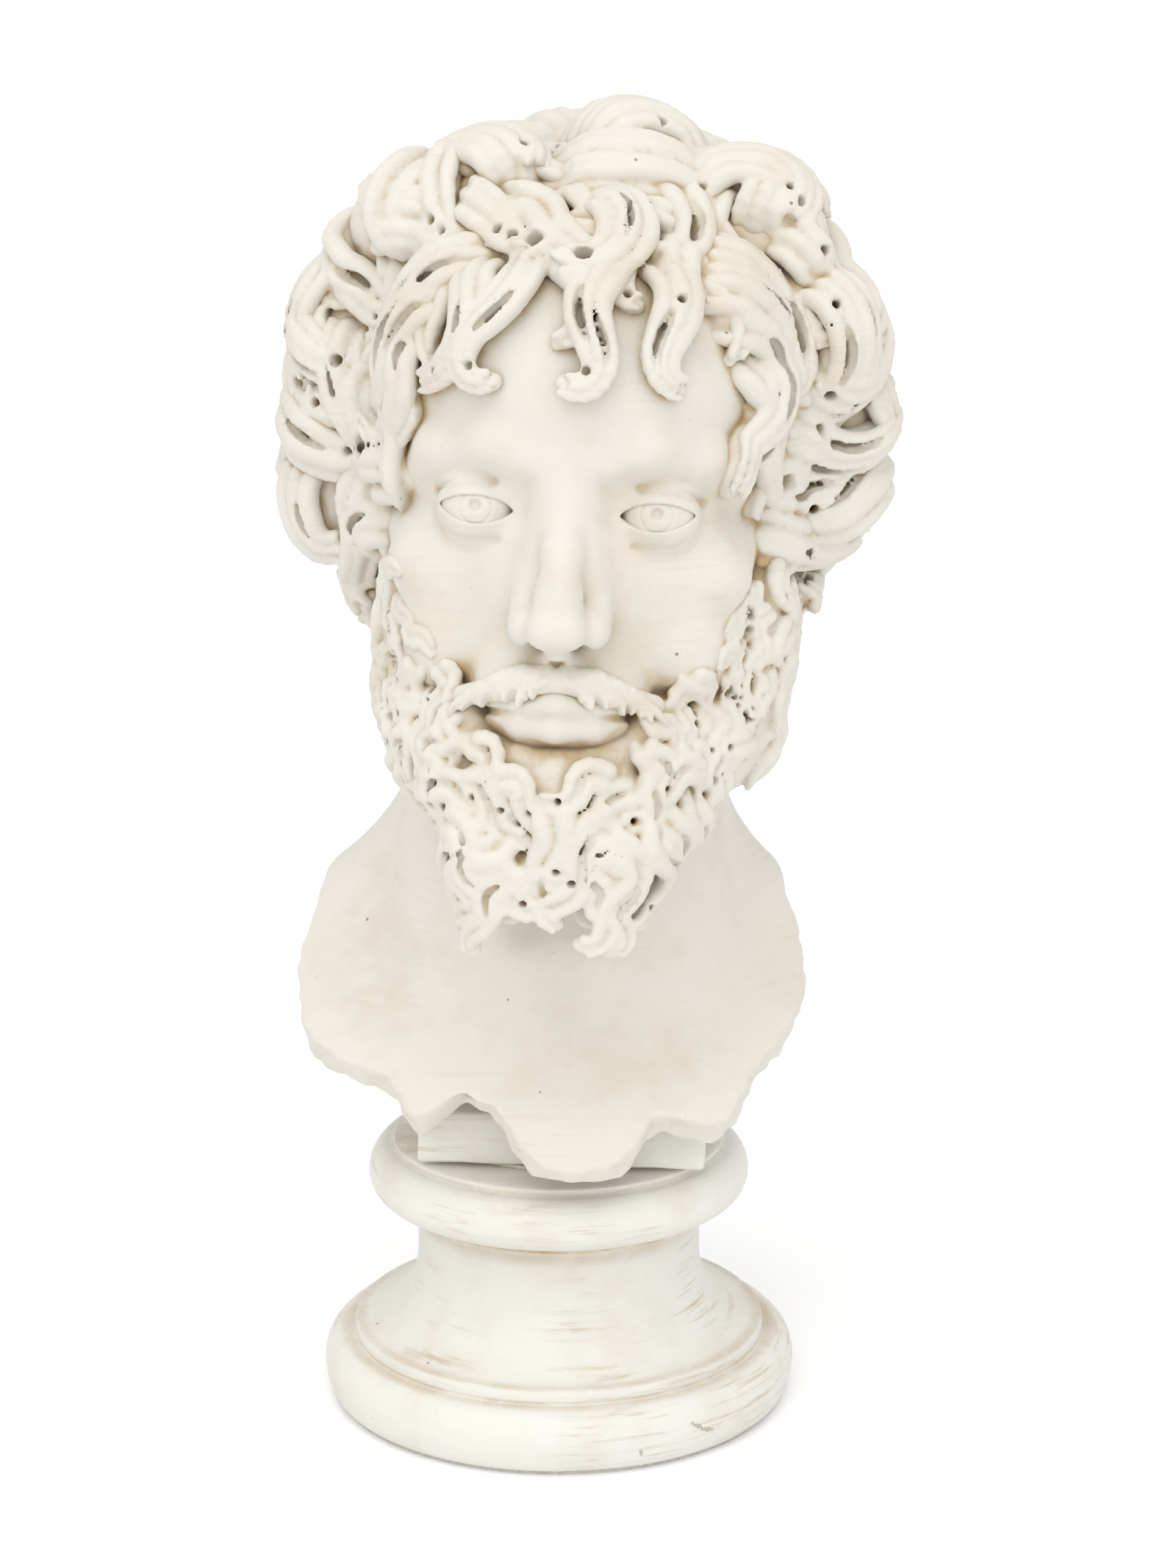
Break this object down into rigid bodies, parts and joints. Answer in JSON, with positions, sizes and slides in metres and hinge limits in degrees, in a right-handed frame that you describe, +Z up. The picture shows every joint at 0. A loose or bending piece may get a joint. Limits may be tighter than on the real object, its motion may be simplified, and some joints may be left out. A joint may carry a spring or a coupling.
{
  "type": "portrait bust on a socle",
  "caption": "Life-size portrait bust with curled hair and a forked beard, on a square block and a turned round socle, with an antiqued marble finish.",
  "frame": {"origin": "on the socle's axis, at the bottom face of the felt disc that rests on the table", "axes": "+Z up along the socle's axis, the face looks towards -Y and a little to -X, and +X is to the right of someone who looks at the face"},
  "size_m": [0.23, 0.2381, 0.4996],
  "materials": {
    "painted_stone": "matte",
    "setting_plaster": "matte",
    "steel": "satin",
    "resin": "gloss",
    "felt": "matte"
  },
  "bodies": {
    "root": {"bust": "painted_stone", "support_block": "painted_stone", "socle": "painted_stone", "upper_setting_bed": "setting_plaster", "lower_setting_bed": "setting_plaster", "fixing_stud": "steel", "resin_anchor": "resin", "plate_washer": "steel", "spring_washer": "steel", "hex_nut": "steel", "locating_dowel_left": "steel", "locating_dowel_right": "steel", "felt_disc": "felt"}
  },
  "joints": []
}
